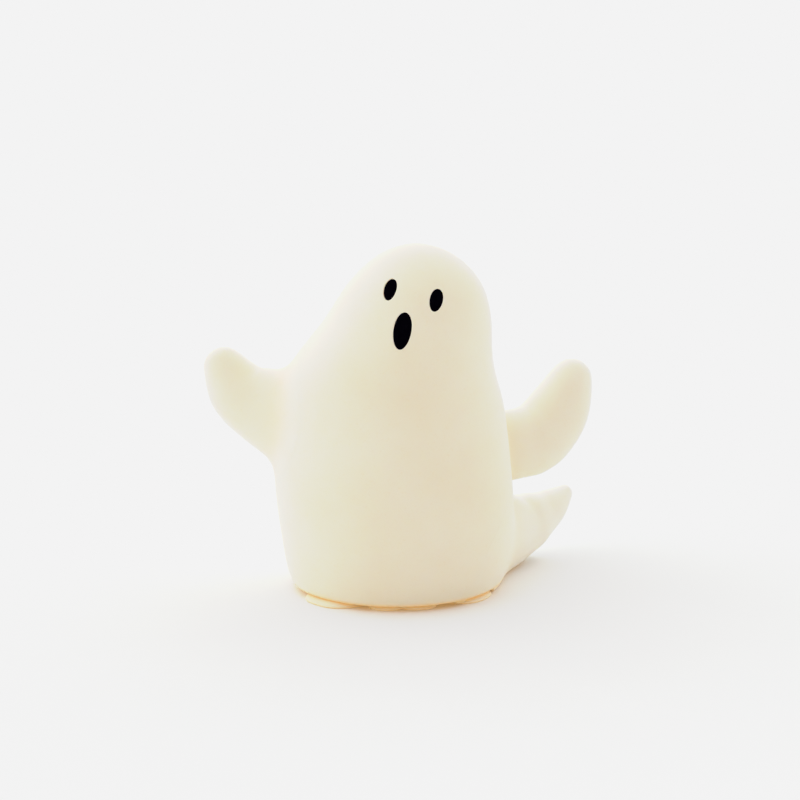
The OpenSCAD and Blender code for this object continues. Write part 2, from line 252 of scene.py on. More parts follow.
class OrnamentFace(PropertyGroup):
    """Sizes of the eyes and the mouth, which hang from the crown."""

    right_eye_width: length("Right Eye Width", "Width of the right eye", 5.6)
    right_eye_height: length("Right Eye Height", "Height of the right eye", 10.1)
    right_eye_side: length("Right Eye Side", "Distance of the right eye from the crown to +X", -10.9)
    right_eye_down: length("Right Eye Down", "Distance of the right eye below the crown", 14.7)
    right_eye_tilt: angle("Right Eye Tilt", "Lean of the right eye to +X at the top", -3.5)
    left_eye_width: length("Left Eye Width", "Width of the left eye", 5.6)
    left_eye_height: length("Left Eye Height", "Height of the left eye", 10.3)
    left_eye_side: length("Left Eye Side", "Distance of the left eye from the crown to +X", 8.3)
    left_eye_down: length("Left Eye Down", "Distance of the left eye below the crown", 18.6)
    left_eye_tilt: angle("Left Eye Tilt", "Lean of the left eye to +X at the top", 22.5)
    mouth_width: length("Mouth Width", "Width of the mouth", 7.4)
    mouth_height: length("Mouth Height", "Height of the mouth", 15.7)
    mouth_side: length("Mouth Side", "Distance of the mouth from the crown to +X", -5.8)
    mouth_down: length("Mouth Down", "Distance of the mouth below the crown", 30.3)
    mouth_tilt: angle("Mouth Tilt", "Lean of the mouth to +X at the top", 7.3)
    egg: share("Egg", "How much wider a hollow is at its top than at its foot", 0.05)
    lip: length("Lip", "Radius of the rounded lip round each hollow", 0.35)
    depth: length("Depth", "Depth of each hollow", 1.6)
    set_back: length("Set Back", "Depth of a black piece's edge below the skin", 0.45)
    crown: length("Crown", "How far a black piece's middle stands above its edge", 0.2)
    tuck: length("Tuck", "How far a black piece's edge runs into the wall", 0.1)
    body_depth: length("Black Depth", "Depth of a black piece's underside", 1.4)


class OrnamentFinish(PropertyGroup):
    """Colours and textures of the ceramic, with its painted warm shade, painted light and painted
    glow.
    """

    clay: colour("Clay", "Colour of the bare cream ceramic", (0.87, 0.81, 0.62))
    clay_pale: colour("Pale Clay", "Colour of its paler patches", (0.89, 0.84, 0.67))
    # Painted light: the limbs are mixed toward this paler colour off the body, most on the tail
    painted_light_clay: colour("Thin Clay", "Colour of the limbs where their clay is thin", (0.91, 0.87, 0.74))
    # Painted shade: this warm colour is put in creases, at the body's rim and along the table; it
    # also tints the clay's specks and pinholes
    speck_and_shade_clay: colour("Warm Clay", "Colour that gathers in its creases", (0.85, 0.58, 0.24))
    black: colour("Black", "Colour of the eyes and the mouth", (0.0008, 0.0005, 0.0018))
    black_pale: colour("Worn Black", "Colour of the black's dustier grains", (0.0016, 0.0012, 0.0030))
    # Reach and strength of the painted warm shade in the creases and at the body's rim
    crease: length("Crease Width", "How far the warm colour runs out of a crease", 6)
    crease_shade_strength: share("Crease Strength", "Strength of the warm colour where limbs join", 0.2)
    foot: length("Foot Warmth", "How far the warm colour runs from the body's rim", 1.1)
    foot_shade_strength: share("Foot Strength", "Strength of the warm colour at the body's rim", 0.85)
    # Painted glow: the clay emits this colour where the painted shade is, most at the foot, though it
    # is no lamp
    painted_glow: colour("Glow", "Light that comes through the thin clay at the foot", (0.20, 0.13, 0.045))
    roughness: share("Roughness", "Roughness of the dry ceramic", 0.62)


class OrnamentStage(PropertyGroup):
    """Camera, floor and light."""

    camera_distance: length("Camera Distance", "Distance of the camera from its aim", 1150)
    camera_rise: angle("Camera Rise", "Angle of the camera above the horizon", 12.5)
    camera_lens: number("Lens", "Focal length in millimetres for a 36 mm sensor", 121.76)
    aim_side: length("Aim Side", "Distance of the camera's aim to +X", 2.158)
    aim_height: length("Aim Height", "Height of the camera's aim", 81.549)
    floor_radius: length("Floor Radius", "Radius of the pale floor", 9000)
    floor: colour("Floor", "Colour of the floor", (0.90, 0.90, 0.895))
    sky_bright: colour("Bright Sky", "Colour of the surroundings' bright side", (0.894, 0.97, 1.0))
    sky_dim: colour("Dim Sky", "Colour of the surroundings' dim side", (0.20, 0.12, 0.09))
    sky_strength: number("Sky Strength", "Brightness of the surroundings", 2.15)
    sky_way: FloatVectorProperty(
        name="Sky Direction", description="Direction of the bright side of the surroundings",
        default=(-0.26, 0.96, 0.10), subtype="XYZ",
    )
    key_strength: number("Key Strength", "Strength of the soft sun from the upper left", 0.38)
    key_softness: angle("Key Softness", "Width of that sun in the sky", 70)
    key_rise: angle("Key Rise", "Height of that sun above the horizon", 48)
    key_side: angle("Key Side", "Direction of that sun, from +X toward +Y", 170)


# Smooth curves and closed skins


def curve_through(rows, at):
    """Points at places on a smooth curve through rows, where place 0 is the first row."""
    rows = np.asarray(rows, float)
    count = len(rows)
    pull = np.zeros_like(rows)
    ties = 4 * np.eye(count - 2) + np.eye(count - 2, k=1) + np.eye(count - 2, k=-1)
    pull[1:-1] = np.linalg.solve(ties, 6 * (rows[:-2] - 2 * rows[1:-1] + rows[2:]))
    first = np.clip(np.floor(at).astype(int), 0, count - 2)
    t = (at - first)[:, None]
    s = 1 - t
    bend = (s**3 - s) * pull[first] + (t**3 - t) * pull[first + 1]
    return s * rows[first] + t * rows[first + 1] + bend / 6


def even_steps(rows, spacing, columns):
    """Rows picked from a dense table at an even spacing along the given columns."""
    run = np.linalg.norm(np.diff(rows[:, columns], axis=0), axis=1)
    along = np.concatenate(([0], np.cumsum(run)))
    wanted = np.linspace(0, along[-1], max(2, round(along[-1] / spacing) + 1))
    return np.stack([np.interp(wanted, along, rows[:, c]) for c in range(rows.shape[1])], axis=1)


def circle(sides):
    """Even angles round a circle."""
    return np.linspace(0, 2 * math.pi, sides, endpoint=False)


def specks(build):
    """The faces of a mesh that don't hang together, edge by edge, with most of it."""
    left, largest = set(build.faces), set()
    while left:
        waiting, part = [left.pop()], set()
        while waiting:
            face = waiting.pop()
            part.add(face)
            beside = {other for edge in face.edges for other in edge.link_faces} & left
            left -= beside
            waiting += beside
        largest = max(largest, part, key=len)
    return [face for face in build.faces if face not in largest]


class Skin:
    """Points and faces of one piece, added loop by loop."""

    def __init__(self):
        self.spots = []
        self.faces = []

    def add(self, spots):
        """Adds a loop of points and returns their numbers."""
        first = len(self.spots)
        self.spots.extend(np.asarray(spots, float).tolist())
        return list(range(first, len(self.spots)))

    def bridge(self, one, other):
        """Joins two loops of equal length with faces."""
        for k in range(len(one)):
            after = (k + 1) % len(one)
            self.faces.append((one[k], one[after], other[after], other[k]))

    def close(self, loop, spot):
        """Closes a loop with a fan of faces round one more point."""
        (middle,) = self.add([spot])
        for k in range(len(loop)):
            self.faces.append((loop[k], loop[(k + 1) % len(loop)], middle))

    def stack(self, loops):
        """Adds loops and joins each to the next. Returns the first and the last."""
        numbers = [self.add(loop) for loop in loops]
        for one, other in zip(numbers, numbers[1:]):
            self.bridge(one, other)
        return numbers[0], numbers[-1]

    def piece(self, name, material, node, masks=None):
        """Makes the Blender object for a node of the solid model, with masks at its points."""
        mesh = bpy.data.meshes.new(name)
        mesh.from_pydata(self.spots, [], self.faces)
        build = bmesh.new()
        build.from_mesh(mesh)
        bmesh.ops.delete(build, geom=specks(build), context="FACES")
        loose = [spot for spot in build.verts if not spot.link_faces]
        bmesh.ops.delete(build, geom=loose, context="VERTS")
        bmesh.ops.recalc_face_normals(build, faces=build.faces)
        for face in build.faces:
            face.smooth = True
        build.to_mesh(mesh)
        build.free()
        spots = np.array([spot.co for spot in mesh.vertices])
        for label, mask in (masks or {}).items():
            layer = mesh.attributes.new(label, "FLOAT", "POINT")
            layer.data.foreach_set("value", mask(spots).astype(np.float32))
        made = bpy.data.objects.new(name, mesh)
        bpy.context.scene.collection.objects.link(made)
        mesh.materials.append(material)
        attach(made, "root")
        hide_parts(node)
        slot_of(node)
        return made


def slot_of(node):
    """The material slot that the record gives a node."""
    return next(p["material_slot"] for p in frame["record"]["subparts"] if p["node"] == node)


# Forms as fields, which are zero on a surface and grow outward


def measured(field, spots):
    """Distance of each point from a field's surface, and which way that distance grows."""
    value = field(spots)
    slope = np.stack([(field(spots + step) - value) / PROBE for step in np.eye(3) * PROBE], axis=1)
    size = np.linalg.norm(slope, axis=1)
    return value / size, slope / size[:, None]


def joined(one, other, reach):
    """Two distances joined by a fillet of the given reach."""
    return np.minimum(one, other) - np.maximum(reach - np.abs(one - other), 0) ** 3 / (6 * reach**2)


def body_outline(sizes):
    """Dense table of the body's height, half-width, half-depth and lean, from foot to crown."""
    rows = np.array(BODY_SHARES)
    rows[:, 0] = sizes.hem_thickness + rows[:, 0] * (sizes.height - sizes.hem_thickness)
    rows[:, 1:] *= (sizes.belly_width, sizes.belly_depth, sizes.lean)
    beyond = rows[-2::-1] * (1, -1, -1, 1)
    return curve_through(np.vstack((rows, beyond)), np.linspace(0, len(rows) - 1, FINE_STEPS))


def body_field(sizes, foot=0):
    """Field of the body's skin, whose outline is carried on below a height or its foot."""
    rows = body_outline(sizes)
    rows = rows[rows[:, 0] >= foot]
    below = rows[0] - (FOOT_DROP, FOOT_TUCK, FOOT_TUCK, 0)
    rows = np.vstack((below, rows[:-1]))

    def field(spots):
        x, y, z = spots.T
        width, depth, lean = (np.interp(z, rows[:, 0], rows[:, c]) for c in (1, 2, 3))
        return np.hypot((x - lean) / width, y / depth) - 1

    return field


def onto(field, spots, along=None, rounds=NET_ROUNDS):
    """Moves points to a field's surface, along one direction or the way that it grows."""
    spots = np.array(spots)
    for _ in range(rounds):
        value, slope = measured(field, spots)
        way = slope if along is None else np.broadcast_to(along, spots.shape)
        gap = -value / np.einsum("ij,ij->i", slope, way)
        spots += np.clip(gap, -STRIDE, STRIDE)[:, None] * way
    return spots


def grid_values(field, low, high, spacing):
    """A field on a grid in a box: its own values near the surface, and coarse ones elsewhere."""
    counts = np.ceil((high - low) / spacing).astype(int) + 1
    blocks = -(-counts // NET_BLOCK)
    middles = np.indices(blocks).reshape(3, -1).T * NET_BLOCK + (NET_BLOCK - 1) / 2
    values = field(low + middles * spacing).reshape(blocks)
    for axis, count in enumerate(counts):
        values = np.take(values.repeat(NET_BLOCK, axis), np.arange(count), axis)
    near = np.abs(values) < NET_REACH * spacing
    values[near] = field(low + np.argwhere(near) * spacing)
    return values


def thickened(values, spacing):
    """Adds inner points where two meet only across a square, which no closed net can part."""
    inner = values < 0
    count = 0
    while inner.sum() != count:
        count = inner.sum()
        for one, other in ((0, 1), (0, 2), (1, 2)):
            square = []
            for shift in np.ndindex(2, 2):
                part = [slice(None)] * 3
                part[one] = slice(shift[0], inner.shape[one] - 1 + shift[0])
                part[other] = slice(shift[1], inner.shape[other] - 1 + shift[1])
                square.append(inner[tuple(part)])
            a, b, c, d = square
            crossed = (a & d & ~b & ~c) | (b & c & ~a & ~d)
            for corner in square:
                corner |= crossed
    values[inner & (values >= 0)] = -ADDED_DEPTH * spacing
    return values


def net_over(field, low, high, spacing):
    """Points and faces of a net that is drawn over a field's surface inside a box."""
    values = thickened(grid_values(field, low, high, spacing), spacing)
    counts = np.array(values.shape)
    cells = tuple(counts - 1)
    total = np.zeros((*cells, 3))
    hits = np.zeros(cells, int)
    crossings = []
    for axis in range(3):
        one, other = (np.take(values, np.arange(n, counts[axis] - 1 + n), axis) for n in (0, 1))
        crossed = (one < 0) != (other < 0)
        place = np.moveaxis(np.indices(crossed.shape), 0, -1).astype(float)
        place[..., axis] += np.where(crossed, one / np.where(crossed, one - other, 1), 0)
        crossings.append(crossed)
        for corner in np.ndindex(2, 2):
            shift = np.insert(corner, axis, 0)
            part = tuple(slice(f, f + n) for f, n in zip(shift, cells))
            total += np.where(crossed[part][..., None], place[part], 0)
            hits += crossed[part]
    used = hits > 0
    numbers = np.full(cells, -1)
    numbers[used] = np.arange(used.sum())
    spots = low + total[used] / hits[used][:, None] * spacing
    faces = []
    for axis, crossed in enumerate(crossings):
        edges = np.argwhere(crossed)
        around = [edges - np.insert(corner, axis, 0) for corner in ((0, 0), (1, 0), (1, 1), (0, 1))]
        if min(np.min(cell) for cell in around) < 0 or (around[0] >= cells).any():
            raise RuntimeError("the box is too small for its surface")
        faces += np.stack([numbers[tuple(cell.T)] for cell in around], axis=1).tolist()
    return onto(field, spots), faces


# Limbs


def limb_spine(sizes, name, shares):
    """Even table of a limb from root to tip: reach, height, half-height, thickness, heading."""
    rows = np.array(shares)
    root, tip = getattr(sizes, f"{name}_root"), getattr(sizes, f"{name}_tip")
    reach, rise = getattr(sizes, f"{name}_reach"), getattr(sizes, f"{name}_rise")
    rows[:, 0] = sizes.belly_width + rows[:, 0] * (reach - sizes.belly_width)
    rows[:, 1] = getattr(sizes, f"{name}_height") + rows[:, 1] * rise
    rows[:, 2] = tip + rows[:, 2] * (root - tip)
    spine = curve_through(rows, np.linspace(0, len(rows) - 1, FINE_STEPS))
    spine = even_steps(spine, SPINE_SPACING, [0, 1])
    heading = np.gradient(spine[:, :2], axis=0)
    heading /= np.linalg.norm(heading, axis=1)[:, None]
    return np.hstack((spine, heading))


def limb_field(sizes, name, shares):
    """Field of a limb's skin: an oval round the spine, with a round end past its last row."""
    spine = limb_spine(sizes, name, shares)
    last = len(spine) - 1
    step = np.linalg.norm(spine[-1, :2] - spine[-2, :2])
    taper = (spine[-2, 2] - spine[-1, 2]) / step
    way = getattr(sizes, f"{name}_angle")

    def row_at(place):
        first = np.clip(place.astype(int), 0, last - 1)
        return (spine[first] + (place - first)[:, None] * (spine[first + 1] - spine[first])).T

    def field(spots):
        along = spots[:, 0] * math.cos(way) + spots[:, 1] * math.sin(way)
        across = spots[:, 1] * math.cos(way) - spots[:, 0] * math.sin(way)
        place = np.interp(along, spine[:, 0], np.arange(last + 1))
        for _ in range(SPINE_ROUNDS):
            reach, height, half, thick, level, climb = row_at(place)
            past = (along - reach) * level + (spots[:, 2] - height) * climb
            place = np.clip(place + past / step, 0, last)
        reach, height, half, thick, level, climb = row_at(place)
        past = ((along - reach) * level + (spots[:, 2] - height) * climb) / half
        up = (spots[:, 2] - height) * level - (along - reach) * climb
        end = np.clip(past, 0, 1)
        half = half * (1 - taper * end * (1 - end))
        return np.sqrt((up / half) ** 2 + (across / (half * thick)) ** 2 + past**2) - 1

    return field


def eased(t):
    """Turns a rise from 0 to 1 into one that starts and ends softly."""
    t = np.clip(t, 0, 1)
    return t * t * (3 - 2 * t)


def limb_solid(sizes, name, shares):
    """Field of a limb with its fillet on the body, its hidden end in the wall and its flat foot."""
    limb, body = limb_field(sizes, name, shares), body_field(sizes, FOOT_HEIGHT)
    reach = getattr(sizes, f"{name}_fillet")

    def field(spots):
        off_limb, off_body = measured(limb, spots)[0], measured(body, spots)[0]
        skin = joined(off_limb, off_body, reach) + np.maximum(off_limb - reach, 0)
        hidden = np.maximum(skin, -off_body - sizes.tongue)
        return -joined(-hidden, spots[:, 2] - floor_under(sizes, spots), sizes.tail_edge)

    return field


def limb_skin(sizes, name, shares):
    """The closed skin over a limb."""
    spine = limb_spine(sizes, name, shares)
    way = getattr(sizes, f"{name}_angle")
    fillet = getattr(sizes, f"{name}_fillet")
    room = spine[:, 2] * np.maximum(spine[:, 3], 1) + fillet + 2 * sizes.tongue
    middle = np.column_stack((spine[:, 0] * math.cos(way), spine[:, 0] * math.sin(way), spine[:, 1]))
    low, high = (middle - room[:, None]).min(axis=0), (middle + room[:, None]).max(axis=0)
    low[2] = max(low[2], -NET_SPACING)
    skin = Skin()
    spots, skin.faces = net_over(limb_solid(sizes, name, shares), low, high, NET_SPACING)
    skin.add(spots)
    return skin


LIMBS = {"right_arm": RIGHT_ARM_SHARES, "left_arm": LEFT_ARM_SHARES, "tail": TAIL_SHARES}


# The painted warm shade's reach from the body's rim, divided by its reach up from the table: on the
# body and the hem plate, and on the limbs
CONTACT = 1.5
LIMB_CONTACT = 0.8
# How much painted light makes each limb's clay paler, and how far off the body it is palest
PAINTED_LIGHTNESS_SHARES = {"right_arm": 0.05, "left_arm": 0.35, "tail": 1.0}
PAINTED_LIGHT_REACH = 15 * MM


def painted_shade_of(sizes, finish, contact=CONTACT):
    """How much painted warm shade each point takes: where limbs join the body, and at the foot."""
    body = body_field(sizes)
    limbs = [limb_field(sizes, name, shares) for name, shares in LIMBS.items()]

    def warmth(spots):
        off = np.maximum(measured(body, spots)[0], 0)
        rim = np.hypot(off, spots[:, 2] - sizes.hem_thickness)
        low = np.minimum(rim, contact * spots[:, 2])
        found = np.exp(-((low / finish.foot) ** 2)) * finish.foot_shade_strength
        near = np.exp(-((off / finish.crease) ** 2))
        for limb in limbs:
            close = np.exp(-((np.maximum(measured(limb, spots)[0], 0) / finish.crease) ** 2))
            found = np.maximum(found, near * close * finish.crease_shade_strength)
        return np.clip(np.nan_to_num(found), 0, 1)

    return warmth


def painted_lightness_of(sizes, amount):
    """How much paler the painted light makes a limb's clay at each point, growing off the body."""
    body = body_field(sizes)
    return lambda spots: amount * eased(measured(body, spots)[0] / PAINTED_LIGHT_REACH)


# The hem plate


HALF_TURN = 180
TURN = 360


def hem_reach(sizes, w):
    """Radius of the hem plate's outline at angles from the front to +X."""
    reach = np.zeros_like(w)
    for way, size, half in SCALLOP_SHARES:
        off = np.abs((np.degrees(w) - way + HALF_TURN) % TURN - HALF_TURN) / half
        reach = np.maximum(reach, size * np.maximum(0, 1 - off**3))
    return sizes.notch_radius + (sizes.hem_radius - sizes.notch_radius) * reach


def floor_under(sizes, spots):
    """The lowest that a limb may reach: above the hem plate where that is, and else the table."""
    w = np.arctan2(spots[:, 0], -spots[:, 1])
    inside = hem_reach(sizes, w) + sizes.slip + PLATE_RAMP - np.hypot(spots[:, 0], spots[:, 1])
    rise = sizes.hem_thickness + sizes.slip - sizes.tail_lift
    return sizes.tail_lift + rise * eased(inside / PLATE_RAMP)


def at_height(plan, z):
    """A loop of points in the ground plane, lifted to a height."""
    return np.column_stack((plan, np.full(len(plan), z)))


# The hem plate's edge from underneath over its outline to its flat top, as shares: inset
# of its lip's width, and height of its thickness
HEM_EDGE_SHARES = (
    (0.12, 0.00),
    (0.05, 0.04),
    (0.01, 0.13),
    (0.00, 0.24),
    (0.03, 0.38),
    (0.12, 0.52),
    (0.28, 0.68),
    (0.50, 0.84),
    (0.75, 0.96),
    (1.00, 1.00),
)
# How much of the width outside the boss the lip may take in a notch
LIP_ROOM = 0.8
# Where the loops over the plate's flat faces lie, as shares of the way from the vent
FLAT_SHARES = (0.0, 0.3, 0.6, 0.85)


def hem_loops(sizes):
    """Loops over the hem plate, from the vent's foot round the edge and over the boss."""
    w = circle(HEM_SIDES)
    ways = np.column_stack((np.sin(w), -np.cos(w)))
    reach = hem_reach(sizes, w)
    vent = ways * sizes.vent_radius + (0, sizes.vent_offset)
    boss_radius = sizes.foot_radius - sizes.slip
    boss = ways * boss_radius
    lip = np.minimum(sizes.hem_lip, LIP_ROOM * (reach - boss_radius))
    edge = [
        at_height(ways * (reach - inset * lip)[:, None], rise * sizes.hem_thickness)
        for inset, rise in HEM_EDGE_SHARES
    ]
    foot = edge[0][:, :2]
    loops = [at_height(vent + t * (foot - vent), 0) for t in FLAT_SHARES] + edge
    top = sizes.hem_thickness + sizes.boss_height
    loops.append(at_height(boss, sizes.hem_thickness))
    loops.append(at_height(boss, top))
    return loops + [at_height(vent + t * (boss - vent), top) for t in reversed(FLAT_SHARES)]


# The body with its hollows for the face


# Turns of the rounded lip in degrees, loops down a hollow's wall and up the foot's opening
LIP_TURNS = (0, 22, 45, 67, 90)
WALL_LOOPS = 3
# Sizes of the loops over a hollow's floor and over a black piece, as shares of its oval, and
# places of the loops under the body's rim, as shares of the way in
FLOOR_SHARES = (0.85, 0.6, 0.3)
DOME_SHARES = (0.15, 0.4, 0.65, 0.85, 1.0)
RIM_SHARES = (0.0, 0.5, 1.0)


class Hollow:
    """One hollow of the face: an oval on the body's skin, seen square on."""

    def __init__(self, sizes, face, name, body):
        self.face = face
        self.body = body
        self.half = Vector((getattr(face, f"{name}_width"), getattr(face, f"{name}_height"))) / 2
        x = sizes.lean + getattr(face, f"{name}_side")
        z = sizes.height - getattr(face, f"{name}_down")
        start = np.array([[x, -sizes.belly_depth, z]])
        self.middle = onto(body, start, along=(0, 1, 0), rounds=FRONT_ROUNDS)[0]
        self.out = measured(body, self.middle[None])[1][0]
        side = np.cross((0, 0, 1), self.out)
        side /= np.linalg.norm(side)
        up = np.cross(self.out, side)
        tilt = getattr(face, f"{name}_tilt")
        self.side = side * math.cos(tilt) - up * math.sin(tilt)
        self.up = up * math.cos(tilt) + side * math.sin(tilt)

    def loop(self, grow, depth, scale=1.0, sides=OVAL_SIDES):
        """Points round the oval, grown by a distance, at a depth below the skin."""
        w = circle(sides)
        wide = (self.half[0] + grow) * np.cos(w) * (1 + self.face.egg * np.sin(w)) * scale
        tall = (self.half[1] + grow) * np.sin(w) * scale
        spots = self.middle + wide[:, None] * self.side + tall[:, None] * self.up
        return onto(self.body, spots, along=self.out, rounds=FACE_ROUNDS) - self.out * depth

    def walls(self):
        """Loops from the lip down the wall and in over the floor."""
        lip, depth = self.face.lip, self.face.depth
        loops = []
        for turn in np.radians(LIP_TURNS):
            loops.append(self.loop(lip * (1 - math.sin(turn)), lip * (1 - math.cos(turn))))
        loops += [self.loop(0, d) for d in np.linspace(lip, depth, WALL_LOOPS + 1)[1:]]
        loops += [self.loop(0, depth, s) for s in FLOOR_SHARES]
        return loops, self.middle - self.out * depth

    def holds(self, spots, grow):
        """Which points lie inside the oval, grown by a distance, seen along its middle."""
        off = spots - self.middle
        wide = off @ self.side / (self.half[0] + grow)
        tall = off @ self.up / (self.half[1] + grow)
        return np.hypot(wide / (1 + self.face.egg * tall), tall) < 1


FACE_NAMES = ("right_eye", "left_eye", "mouth")
# Rings of points round each hollow, how far the grid keeps from the last of them, and how
# far a face's middle may lie inside the lip before it counts as open
RING_OFFS = (0.25 * MM, 0.6 * MM, 1.1 * MM)
RING_CLEARANCE = 0.4 * MM
LIP_SLACK = 0.02 * MM
# The grid is left out this far round the hollows
FACE_MARGIN = 4 * MM
# Points closer than this, in millimetres, would be merged
NEAR = 1e-5


def face_block(rows, angles, hollows):
    """First and last row and column of the grid that the three hollows lie in."""
    low = np.min([h.middle[[0, 2]] - max(h.half) for h in hollows], axis=0) - FACE_MARGIN
    high = np.max([h.middle[[0, 2]] + max(h.half) for h in hollows], axis=0) + FACE_MARGIN
    inside = [i for i, r in enumerate(rows) if low[1] < r[0] < high[1]]
    foot, top = rows[inside[0]], rows[inside[-1]]
    columns = [
        k for k, w in enumerate(angles)
        if math.sin(w) < 0
        and low[0] < top[3] + top[1] * math.cos(w)
        and high[0] > foot[3] + foot[1] * math.cos(w)
    ]
    return inside[0], inside[-1], columns[0], columns[-1]


def clear_of(spot, hollows, grow):
    """Whether a point lies outside every hollow's lip, grown by a distance."""
    return not any(h.holds(spot[None], h.face.lip + grow)[0] for h in hollows)


class Patch:
    """Points of a patch to be filled, the loops that bound it, and the hollow each rim is of."""

    def __init__(self):
        self.numbers = []
        self.places = []
        self.edges = []
        self.rims = []

    def add(self, numbers, places, closed=False, rim=None):
        """Adds points by their numbers in the skin. Closed ones bound the patch, as a rim does."""
        first, count = len(self.numbers), len(numbers)
        self.numbers += numbers
        self.places += list(places)
        self.rims += [rim] * count
        if closed:
            self.edges += [(first + k, first + (k + 1) % count) for k in range(count)]

    def fill(self, skin, hollows):
        """Adds triangles between the points, seen from the front, but none inside a hollow."""
        flat = [Vector((place[0] / MM, place[2] / MM)) for place in self.places]
        made = delaunay_2d_cdt(flat, self.edges, [], 1, NEAR)
        if len(made[0]) != len(flat):
            raise RuntimeError("the face's points do not all stand apart")
        for triangle in made[2]:
            corners = [made[3][k][0] for k in triangle]
            rims = {self.rims[k] for k in corners}
            if len(rims) == 1 and None not in rims:
                continue
            if clear_of(np.mean([self.places[k] for k in corners], axis=0), hollows, -LIP_SLACK):
                skin.faces.append(tuple(self.numbers[k] for k in corners))


def fill_face(skin, grid, spots, block, hollows):
    """The skin round the face: triangles from the grid to each hollow, and the hollows' walls."""
    foot, top, left, right = block
    border = [(foot, k) for k in range(left, right)] + [(i, right) for i in range(foot, top)]
    border += [(top, k) for k in range(right, left, -1)] + [(i, left) for i in range(top, foot, -1)]
    patch = Patch()
    patch.add([grid[i][k] for i, k in border], [spots[i][k] for i, k in border], closed=True)
    for i in range(foot + 1, top):
        for k in range(left + 1, right):
            if clear_of(spots[i][k], hollows, RING_OFFS[-1] + RING_CLEARANCE):
                patch.add([grid[i][k]], [spots[i][k]])
    for hollow in hollows:
        loops, middle = hollow.walls()
        rim, last = skin.stack(loops)
        skin.close(last, middle)
        patch.add(rim, loops[0], closed=True, rim=hollow)
        others = [h for h in hollows if h is not hollow]
        for off in RING_OFFS:
            ring = hollow.loop(hollow.face.lip + off, 0)
            ring = [spot for spot in ring if clear_of(spot, others, off)]
            patch.add(skin.add(ring), ring)
    patch.fill(skin, hollows)


def body_loop(row, inset, angles):
    """One level loop of the body, moved inward by a wall."""
    return np.column_stack((
        row[3] + (row[1] - inset) * np.cos(angles),
        (row[2] - inset) * np.sin(angles),
        np.full(len(angles), row[0]),
    ))


def cavity_loops(sizes, outline, angles):
    """Loops from the body's rim in over its foot, up the opening and up the cavity inside."""
    ways = np.column_stack((np.cos(angles), np.sin(angles)))
    rim = body_loop(outline[0], 0, angles)[:, :2]
    opening = ways * sizes.foot_radius
    foot = sizes.hem_thickness
    step = foot + OPENING_WALLS * sizes.wall
    loops = [at_height(rim + t * (opening - rim), foot) for t in RIM_SHARES]
    loops += [at_height(opening, z) for z in np.linspace(foot, step, WALL_LOOPS + 1)[1:]]
    top = sizes.height - CAVITY_WALLS * sizes.wall
    return loops + [
        body_loop(row, sizes.wall, angles)
        for row in even_steps(outline, INNER_SPACING, [0, 1])
        if step < row[0] < top and min(row[1], row[2]) > CAVITY_WALLS * sizes.wall
    ]


def body_skin(sizes, face):
    """The hollow body: its skin with the face's hollows, its foot and the cavity inside."""
    body, outline = body_field(sizes), body_outline(sizes)
    hollows = [Hollow(sizes, face, name, body) for name in FACE_NAMES]
    rows = even_steps(outline, BODY_SPACING, [0, 1])[:-1]
    angles = circle(BODY_SIDES)
    skin = Skin()
    spots = [body_loop(row, 0, angles) for row in rows]
    grid = [skin.add(loop) for loop in spots]
    foot, top, left, right = block = face_block(rows, angles, hollows)
    for i in range(len(grid) - 1):
        for k in range(BODY_SIDES):
            if foot <= i < top and left <= k < right:
                continue
            after = (k + 1) % BODY_SIDES
            skin.faces.append((grid[i][k], grid[i][after], grid[i + 1][after], grid[i + 1][k]))
    skin.close(grid[-1], (outline[-1, 3], 0, outline[-1, 0]))
    fill_face(skin, grid, spots, block, hollows)
    loops = cavity_loops(sizes, outline, angles)
    inside, last = skin.stack(loops[1:])
    skin.bridge(grid[0], inside)
    ceiling = sizes.height - CAVITY_CEILING * sizes.wall
    skin.close(last, (loops[-1][:, 0].mean(), 0, ceiling))
    return skin


def inlay_skin(hollow):
    """A black piece: a low dome whose edge runs into the wall of its hollow."""
    face = hollow.face
    skin = Skin()
    domes = []
    for share_out in DOME_SHARES:
        depth = face.set_back - face.crown * (1 - share_out**2)
        domes.append(hollow.loop(face.tuck, depth, share_out))
    domes.append(hollow.loop(face.tuck, face.body_depth))
    first, last = skin.stack(domes)
    skin.close(first, hollow.middle - hollow.out * (face.set_back - face.crown))
    skin.close(last, hollow.middle - hollow.out * face.body_depth)
    return skin


# Materials

# Heights of the fine relief, how strongly the clay's shows, and how deep light spreads in it
CLAY_RELIEF = 0.12 * MM
CLAY_RELIEF_STRENGTH = 0.5
BLACK_RELIEF = 0.05 * MM
PAPER_RELIEF = 0.01 * MM
LIGHT_DEPTH = 2 * MM
# How close the swells of a surface stand, how strongly a pinhole holds the warm colour, how much of
# the painted warm shade the hem plate takes, and how bright the paper's fibres are
SWELL_SCALE = 70.0
HOLE_WARMTH = 0.6
HEM_PAINTED_SHADE = 0.8
FIBRE_SHADE = 0.985
# The spans of noise that the clay's clouds and specks fade in over
CLOUD_SPAN = (0.35, 0.68)
SPECK_SPAN = (0.56, 0.72)
BLACK = (0, 0, 0, 1)
# What is the same all over each material
CLAY_SHADER = {
    "Emission Strength": 1.0,
    "Subsurface Weight": 0.25,
    "Subsurface Radius": (1.0, 0.7, 0.4),
    "Subsurface Scale": LIGHT_DEPTH,
    "Specular IOR Level": 0.35,
    "Sheen Weight": 0.25,
    "Sheen Roughness": 0.45,
}
BLACK_SHADER = {"Specular IOR Level": 0.0}
PAPER_SHADER = {"Roughness": 0.9, "Specular IOR Level": 0.1}


